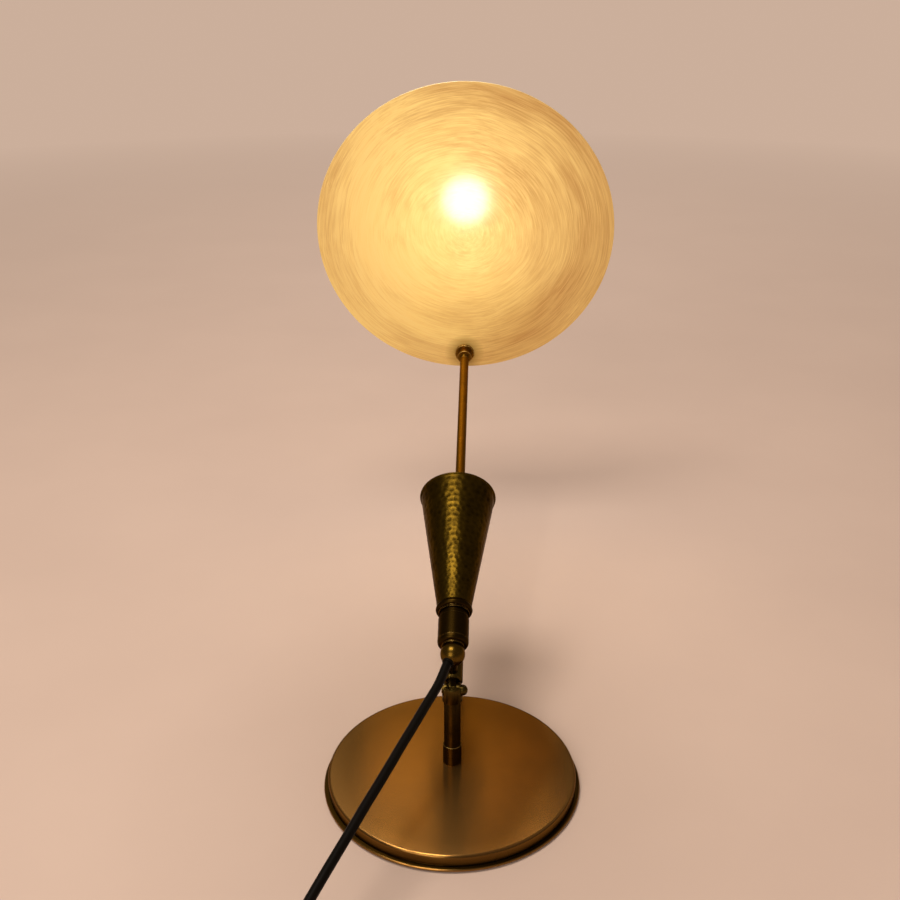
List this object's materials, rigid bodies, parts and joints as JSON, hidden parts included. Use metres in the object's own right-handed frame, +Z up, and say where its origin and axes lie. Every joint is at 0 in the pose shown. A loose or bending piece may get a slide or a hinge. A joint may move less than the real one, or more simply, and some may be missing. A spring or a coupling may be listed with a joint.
{
  "type": "reflector table lamp",
  "caption": "Table lamp with a round base, a tilting arm, a hammered cone shade that shines onto a large round brushed disc, and a coiled cord with a plug.",
  "frame": {"origin": "centre of the base's flat underside, where the lamp stands on the table", "axes": "+Z up, +Y to the back, where the arm leans, +X to the right seen from the front"},
  "size_m": [0.258, 0.7464, 0.4072],
  "materials": {
    "pad": "black felt",
    "ballast": "plain steel plate",
    "base_brass": "aged satin brass",
    "aged_brass": "aged satin brass",
    "holder_brass": "dark aged brass",
    "rod_brass": "satin brass",
    "hammered_brass": "hammered, dark aged brass",
    "disc_brass": "brushed in circles",
    "bright_brass": "plain machined brass",
    "steel": "plated steel",
    "porcelain": "glazed white",
    "lamp_white": "white",
    "lamp_glass": "frosted, lit",
    "cord": "smooth black sheath",
    "tie": "black band",
    "black_plastic": "black"
  },
  "bodies": {
    "base": {"base_pad": "pad", "base_weight": "ballast", "base_cover": "base_brass", "foot_nut": "bright_brass", "foot_washer": "steel", "foot_ferrule": "aged_brass", "stem_tube": "aged_brass", "knuckle_base": "aged_brass", "clamp_nut": "aged_brass", "cord_free": "cord", "cord_coil": "cord", "cord_tie": "tie", "cord_tail": "cord", "plug_relief": "black_plastic", "plug_body": "black_plastic", "plug_pins": "steel"},
    "screw": {"clamp_screw": "aged_brass"},
    "arm": {"knuckle_head": "aged_brass", "rod": "rod_brass", "rod_tip": "rod_brass", "ball_stud": "aged_brass", "cable_ball": "rod_brass", "cord_bush": "black_plastic"},
    "head": {"holder_cup": "holder_brass", "holder_band": "holder_brass", "holder_sleeve": "holder_brass", "bead_ring": "holder_brass", "cone_shade": "hammered_brass", "nipple": "bright_brass", "nipple_nut": "bright_brass", "lamp_socket": "porcelain", "lamp_body": "lamp_white", "lamp_lens": "lamp_glass", "lamp_pins": "steel"},
    "reflector": {"disc": "disc_brass", "flange_ring": "rod_brass", "collar_ring": "rod_brass", "rear_washer": "bright_brass", "rear_nut": "bright_brass"}
  },
  "joints": [
    {"name": "clamp_turn", "type": "hinge", "parent": "base", "child": "screw", "pos_m": [0, 0.0078, 0.068], "axis": [1, 0, 0], "range_deg": [-90, 90]},
    {"name": "arm_tilt", "type": "hinge", "parent": "base", "child": "arm", "pos_m": [0, 0.0078, 0.068], "axis": [1, 0, 0], "range_deg": [-5, 75], "deforming": ["cord_free"]},
    {"name": "head_tilt", "type": "hinge", "parent": "arm", "child": "head", "pos_m": [0, 0.01425, 0.09147], "axis": [1, 0, 0], "range_deg": [-1, 25]},
    {"name": "disc_tilt", "type": "hinge", "parent": "arm", "child": "reflector", "pos_m": [0, 0.37678, 0.16687], "axis": [1, 0, 0], "range_deg": [-4, 18]}
  ]
}
